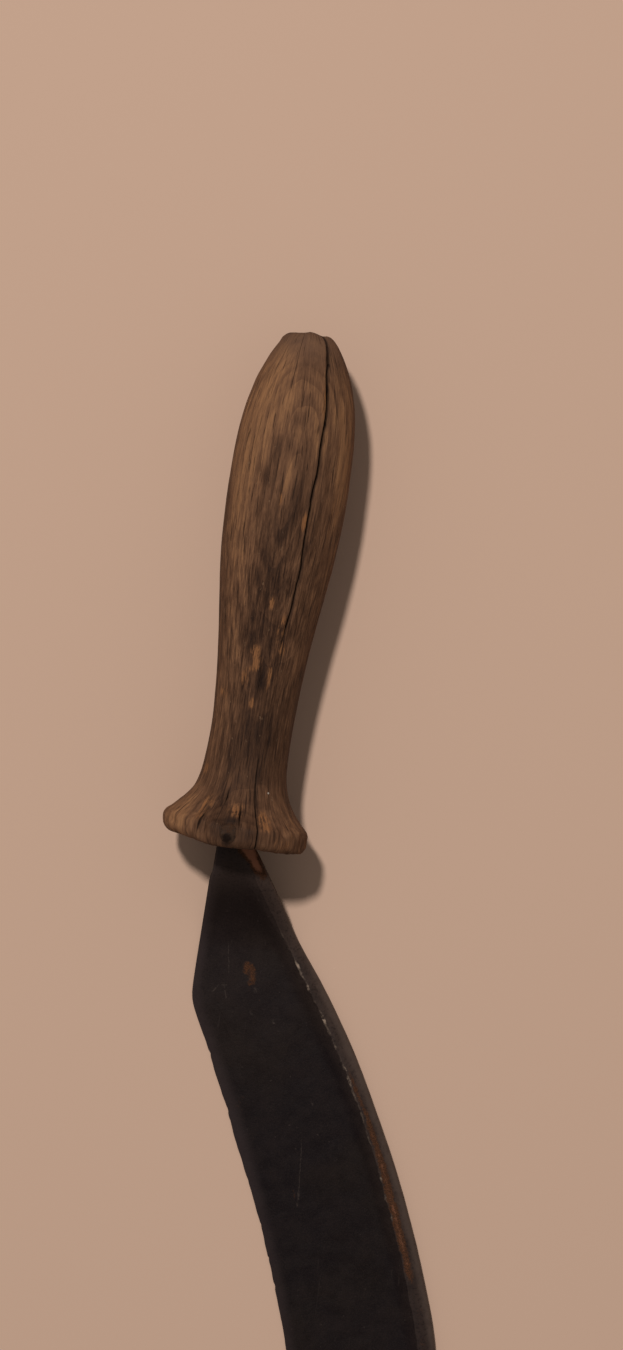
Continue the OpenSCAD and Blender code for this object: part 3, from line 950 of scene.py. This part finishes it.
# Lighter along the rib's strip: wear, and painted light on the cove's shoulder below the crest and towards
# the back's edge, where the rib rounds over
strip_wear_and_light = between(tree, from_crest, 0.15, -0.1)
strip_wear_and_light = times(
    tree,
    maths(tree, "MAXIMUM", strip_wear_and_light, between(tree, from_crest, 3.0, 0.2, 0, 0.36)),
    top_side,
    between(tree, along, 106, 126, 1, 0.8),
    between(tree, from_back, 0.2, 3.4, 1.2, 0.62),
    between(tree, cloudy(tree, in_place, 160, 5, 0.7), 0.3, 0.62, 0.55, 1.15),
)
# The honed bevel: worn, and lighter and greyer by a painted sheen along the edge
bevel_wear_and_sheen = times(tree, between(tree, from_edge, 3.6, -0.6), top_side)
# Lighter towards the heel, and most at the neck: painted light that lifts the collar's shadow there
heel_painted_light = between(tree, along, 72, 14, 0, 0.125)
heel_painted_light = times(tree, maths(tree, "MAXIMUM", heel_painted_light, between(tree, along, 18, 4, 0, 0.52)), top_side)
# Wear, with the painted light of the strip, the bevel and the heel
wear_and_light = maths(tree, "MULTIPLY_ADD", bevel_wear_and_sheen, 0.16, maths(tree, "MULTIPLY_ADD", strip_wear_and_light, 0.85, heel_painted_light))
wavering = maths(tree, "MULTIPLY_ADD", cloudy(tree, in_place, 900, 3, 0.6), 0.9, -0.45)
at_crest = maths(tree, "ABSOLUTE", maths(tree, "ADD", from_crest, wavering))
at_crest = maths(tree, "MULTIPLY_ADD", glint, -0.2, at_crest)
crest_left = between(tree, cloudy(tree, in_place, 300, 6, 0.75), 0.42, 0.57)
# The crest: bare metal with painted glints of highlight
crest_bare_and_glint = times(tree, between(tree, at_crest, 0.26, 0.02), top_side, crest_left, glint)
shine = tones(tree, cloudy(tree, in_place, 260, 4, 0.7), (0.38, crest_dull), (0.64, crest_highlight))
# Lighter along the back's edge: wear, and a painted sheen where the back rounds over
back_wear_and_sheen = times(
    tree,
    between(tree, from_back, 2.3, 0.3, 0, 0.85),
    between(tree, along, 12, 30),
    between(tree, cloudy(tree, in_place, 420, 4, 0.65), 0.3, 0.55, 0.6, 1),
    top_side,
)
fire_tone = between(tree, cloudy(tree, in_place, 32, 3, 0.5), 0.4, 0.6)
metal_values = {
    "Scale Colour": blended(tree, fire_tone, fire_brown, fire_blue),
    "Bare Colour": bare_brown,
    "Rust Colour": rust_brown,
    "Wear And Light": wear_and_light,
    "Rust": measured(tree, "rust"),
}
metal = add(tree, "Group", metal_values, node_tree=forge_scale)
# Painted sheen on the bevel
colour = blended(tree, times(tree, bevel_wear_and_sheen, 0.55), metal.outputs["Colour"], bevel_sheen_grey)
colour = blended(tree, back_wear_and_sheen, colour, back_sheen_brown)
colour = blended(tree, crest_bare_and_glint, colour, shine)
down_cuts = cloudy(tree, stretched(tree, (1, 0.025, 1), (0, 0, 0.18)), 950, 2, 0.5)
cross_cuts = cloudy(tree, stretched(tree, (0.03, 1, 1), (0, 0, 0.7)), 700, 2, 0.5)
scratches = between(tree, down_cuts, 0.68, 0.76)
scratches = times(tree, maths(tree, "MAXIMUM", scratches, between(tree, cross_cuts, 0.74, 0.82)), 0.55)
dust = between(tree, cloudy(tree, in_place, 900, 1, 0.5), 0.74, 0.80)
colour = blended(tree, times(tree, maths(tree, "MAXIMUM", scratches, dust), 0.4), colour, scratch_brown)
shake = maths(tree, "MULTIPLY_ADD", cloudy(tree, in_place, 700, 3, 0.6), 0.7, -0.35)


def scored(start, end, reach):
    """A thin line in the skin between two places, each given along the back and from it."""
    (s, q), (s_end, q_end) = start, end
    length = math.hypot(s_end - s, q_end - q)
    run, rise = (s_end - s) / length, (q_end - q) / length
    down = maths(tree, "MULTIPLY_ADD", from_back, rise, -s * run - q * rise)
    down = maths(tree, "MULTIPLY_ADD", along, run, down)
    aside = maths(tree, "MULTIPLY_ADD", from_back, run, s * rise - q * run)
    aside = maths(tree, "MULTIPLY_ADD", along, -rise, maths(tree, "ADD", aside, shake))
    line = between(tree, maths(tree, "ABSOLUTE", aside), reach, 0.3 * reach)
    return times(tree, line, between(tree, down, 0, 0.3 * length), between(tree, down, length, 0.94 * length))


# The longer scratches: both ends, given along the back and from it, and half the width
score_lines = [
    ((73, 19.2), (92.5, 26.6), 0.17), ((88, 24.6), (93, 26.8), 0.36), ((30, 26.8), (29, 23.6), 0.22),
    ((28, 22.1), (33, 23.8), 0.17), ((22, 16.9), (28, 20.4), 0.14), ((33.2, 16.1), (34.8, 16.4), 0.5),
    ((38, 19.6), (39.4, 19.5), 0.4), ((42.4, 15.3), (44, 15.5), 0.45), ((29.2, 23.6), (29.8, 22), 0.2),
]
scores = 0
for start, end, reach in score_lines:
    scores = maths(tree, "MAXIMUM", scores, scored(start, end, reach))
broken = between(tree, cloudy(tree, in_place, 1100, 3, 0.65), 0.42, 0.58, 0.05, 0.34)
colour = blended(tree, times(tree, scores, broken, top_side), colour, score_brown)
dress(tree, surface, colour, metal.outputs["Roughness"], metal.outputs["Height"], 0.7, 0.14, 0.07)
make_piece("forged_blade", iron, black_iron, "blade")


# Collar nail
# A wrought nail, driven through the collar and the tang's root behind it. Its head was beaten flat into the
# wood and has rusted there, so that the wood round it is stained black.

nail_top, head_h = nail_high.z / mm, 1.2
# Reach of the dark spot at the head's lower rim, rust with painted shade, and of its darkest core
pit_and_shade_r, pit_and_shade_core_r = 2.0, 1.1
nail_outline = [
    (0, 0), (0.6, -0.02), (1.2, -0.06), (1.7, -0.16), (2.1, -0.32), (2.3, -0.55), (2.32, -0.8), (2.2, -1.02),
    (1.3, -1.1), (1.12, -1.5), (1.1, -12), (1.0, -24), (0.7, -28), (0.2, -29.8), (0, -29.9),
]
nail = bmesh.new()
profile = []
for r, z in nail_outline:
    profile.append(nail.verts.new((nail_middle.x + r * mm, nail_middle.y, (nail_top + z) * mm)))
edges = [nail.edges.new(pair) for pair in zip(profile, profile[1:])]
bmesh.ops.spin(
    nail, geom=profile + edges, cent=nail_middle, axis=(0, 0, 1), angle=2 * math.pi, steps=48, use_merge=True
)
bmesh.ops.remove_doubles(nail, verts=nail.verts, dist=weld * mm)
for point in nail.verts:
    depth = nail_top - point.co.z / mm
    if depth < head_h:
        out = point.co - nail_middle
        angle = math.atan2(out.y, out.x)
        beaten = 1 + 0.16 * uneven(math.cos(angle) * 1.6, math.sin(angle) * 1.6, 3)
        dish = 0.16 * max(0, noise.noise(point.co * 700))
        point.co.x = nail_middle.x + out.x * beaten
        point.co.y = nail_middle.y + out.y * beaten
        point.co.z -= dish * mm
bmesh.ops.recalc_face_normals(nail, faces=nail.faces)

rusted_nail, tree, surface = new_material("rusted_nail")
metal_values = {
    "Scale Colour": (0.012, 0.0066, 0.0046, 1),
    "Bare Colour": (0.074, 0.0430, 0.0275, 1),
    "Rust Colour": (0.064, 0.0290, 0.0145, 1),
    "Wear And Light": 0.45,
    "Rust": 0.5,
    "Coarseness": 1.5,
}
# Dark spot at the head's lower rim: rust, with painted shade of the gap under the head
pit_and_shade_black = (0.006, 0.0034, 0.0026)
metal = add(tree, "Group", metal_values, node_tree=forge_scale)
pit_and_shade_middle = Vector((nail_middle.x - 0.3 * mm, nail_middle.y - 1.2 * mm, nail_high.z))
in_place = add(tree, "TexCoord").outputs["Object"]
from_pit_and_shade = add(tree, "VectorMath", {0: in_place, 1: pit_and_shade_middle}, operation="DISTANCE").outputs["Value"]
from_pit_and_shade = maths(tree, "MULTIPLY_ADD", cloudy(tree, stretched(tree, (1, 1, 1)), 900), 0.8 * mm, from_pit_and_shade)
in_pit_and_shade = between(tree, from_pit_and_shade, pit_and_shade_r * mm, pit_and_shade_core_r * mm, 0, 0.85)
colour = blended(tree, in_pit_and_shade, metal.outputs["Colour"], pit_and_shade_black)
dress(tree, surface, colour, metal.outputs["Roughness"], metal.outputs["Height"], 0.8, 0.1, 0.04)
make_piece("wrought_nail", nail, rusted_nail, "collar_nail")


# Floor and light
# A plain, pale floor takes the place of the wall. One soft lamp stands over the butt and a little to the
# left, and the even, slightly warm world fills the shadows.

floor_half = 2.5
lamp_away = 2.4

ground = bmesh.new()
bmesh.ops.create_grid(ground, x_segments=1, y_segments=1, size=floor_half)
bmesh.ops.translate(ground, verts=ground.verts, vec=(0, 0, -floor_gap * mm))
floor_mesh = bpy.data.meshes.new("floor")
ground.to_mesh(floor_mesh)
ground.free()
floor = bpy.data.objects.new("floor", floor_mesh)
bpy.context.scene.collection.objects.link(floor)
pale_floor, tree, surface = new_material("pale_floor")
surface.inputs["Base Color"].default_value = (0.552, 0.371, 0.275, 1)
surface.inputs["Roughness"].default_value = 0.9
surface.inputs["Specular IOR Level"].default_value = 0.1
floor_mesh.materials.append(pale_floor)

light = bpy.data.lights.new("lamp", "AREA")
light.shape = "DISK"
light.size = 0.19
light.energy = 44
light.color = (1, 0.985, 0.965)
lamp = bpy.data.objects.new("lamp", light)
bpy.context.scene.collection.objects.link(lamp)
towards = Vector((-0.27, 0.42, 1)).normalized()
lamp.location = aim + towards * lamp_away
lamp.rotation_euler = towards.to_track_quat("Z", "Y").to_euler()

world = bpy.data.worlds.new("world")
bpy.context.scene.world = world
world.use_nodes = True
world.node_tree.nodes["Background"].inputs["Color"].default_value = (1, 0.96, 0.92, 1)
world.node_tree.nodes["Background"].inputs["Strength"].default_value = 0.23
bpy.context.scene.view_settings.view_transform = "Standard"
